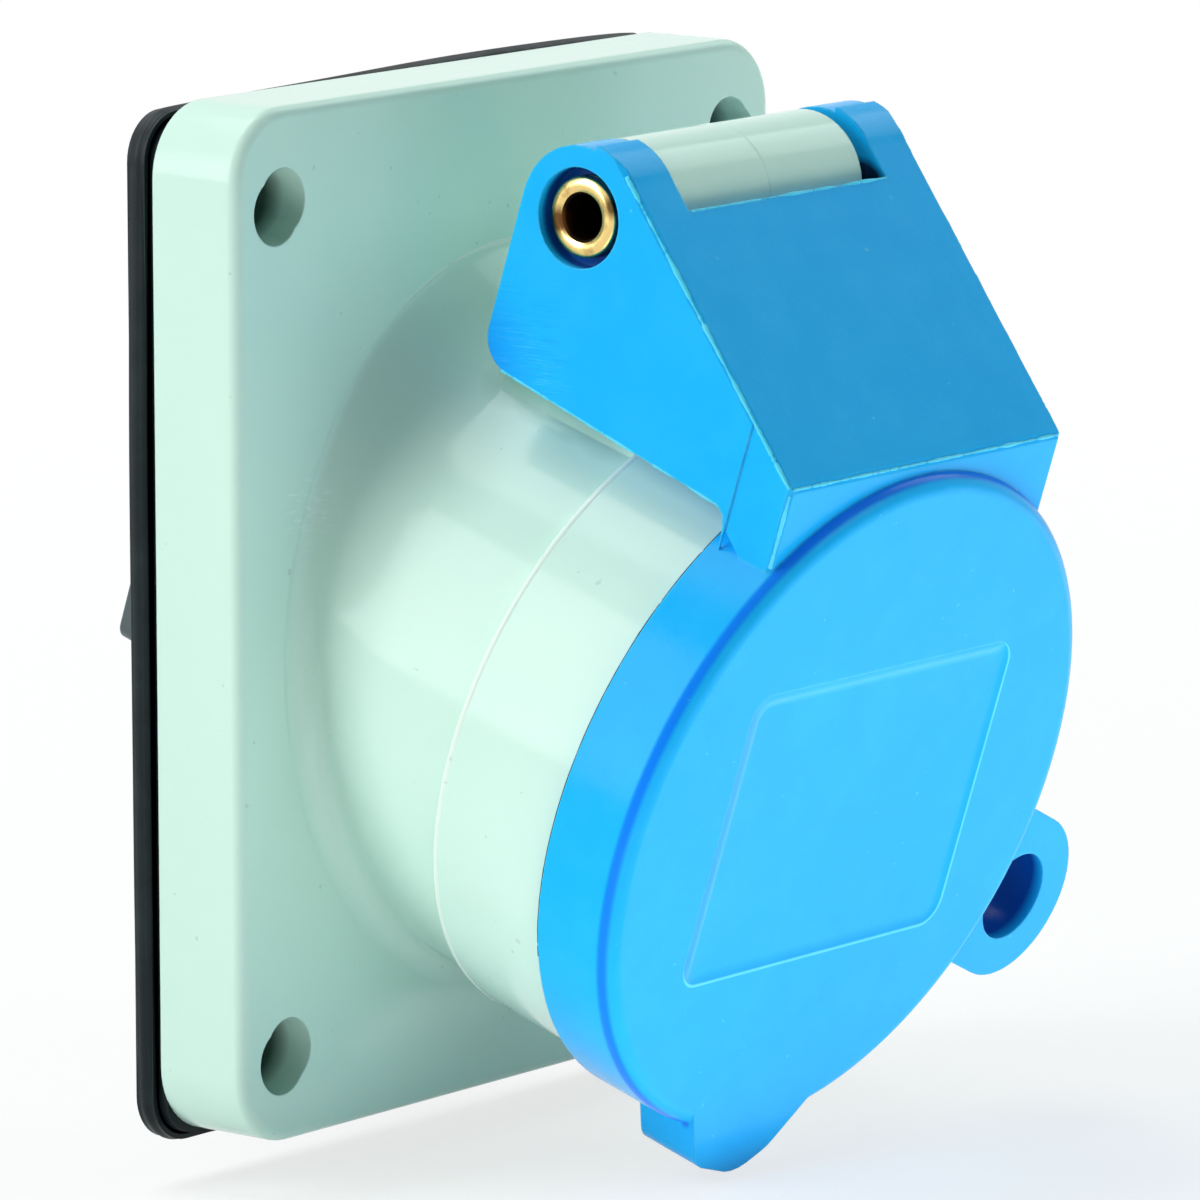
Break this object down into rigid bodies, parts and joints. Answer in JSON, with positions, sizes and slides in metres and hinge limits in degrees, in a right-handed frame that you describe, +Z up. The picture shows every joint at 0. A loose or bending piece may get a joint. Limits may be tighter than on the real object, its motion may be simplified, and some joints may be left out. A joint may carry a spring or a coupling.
{
  "type": "panel-mounted industrial socket",
  "caption": "Angled round power socket on a square-cornered flange with a rear gasket, closed by a sprung hinged lid with a thumb tab and a sealing eye.",
  "frame": {"origin": "centre of the four screw holes, on the panel face that the gasket's rear seals on", "axes": "+Z up, +Y into the panel, so the lid faces -Y and downwards; +X to the right seen from the front"},
  "size_m": [0.0729, 0.0769, 0.0888],
  "materials": {
    "grey_plastic": "satin light grey moulding",
    "blue_plastic": "satin blue moulding, fine grain",
    "black_rubber": "soft black rubber",
    "dark_plastic": "dark grey moulding",
    "brass": "turned brass",
    "steel": "zinc-plated steel"
  },
  "bodies": {
    "base": {"housing": "grey_plastic", "flange_gasket": "black_rubber", "lid_spring": "steel", "contact_carrier": "dark_plastic", "contact_plate": "dark_plastic", "terminal_block": "dark_plastic", "line_contact": "brass", "neutral_contact": "brass", "earth_contact": "brass", "line_clip": "steel", "neutral_clip": "steel", "earth_clip": "steel", "line_terminal_screw": "steel", "neutral_terminal_screw": "steel", "earth_terminal_screw": "steel", "carrier_screws": "steel", "block_screws": "steel"},
    "lid_body": {"lid": "blue_plastic", "lid_seal": "black_rubber", "hinge_pin": "brass"}
  },
  "joints": [
    {"name": "lid_hinge", "type": "hinge", "parent": "base", "child": "lid_body", "pos_m": [0, -0.03317, 0.03419], "axis": [-1, 0, 0], "range_deg": [0, 120], "stiffness_Nm_per_rad": 0.03, "springref_deg": -45.84, "deforming": ["lid_spring"]}
  ]
}
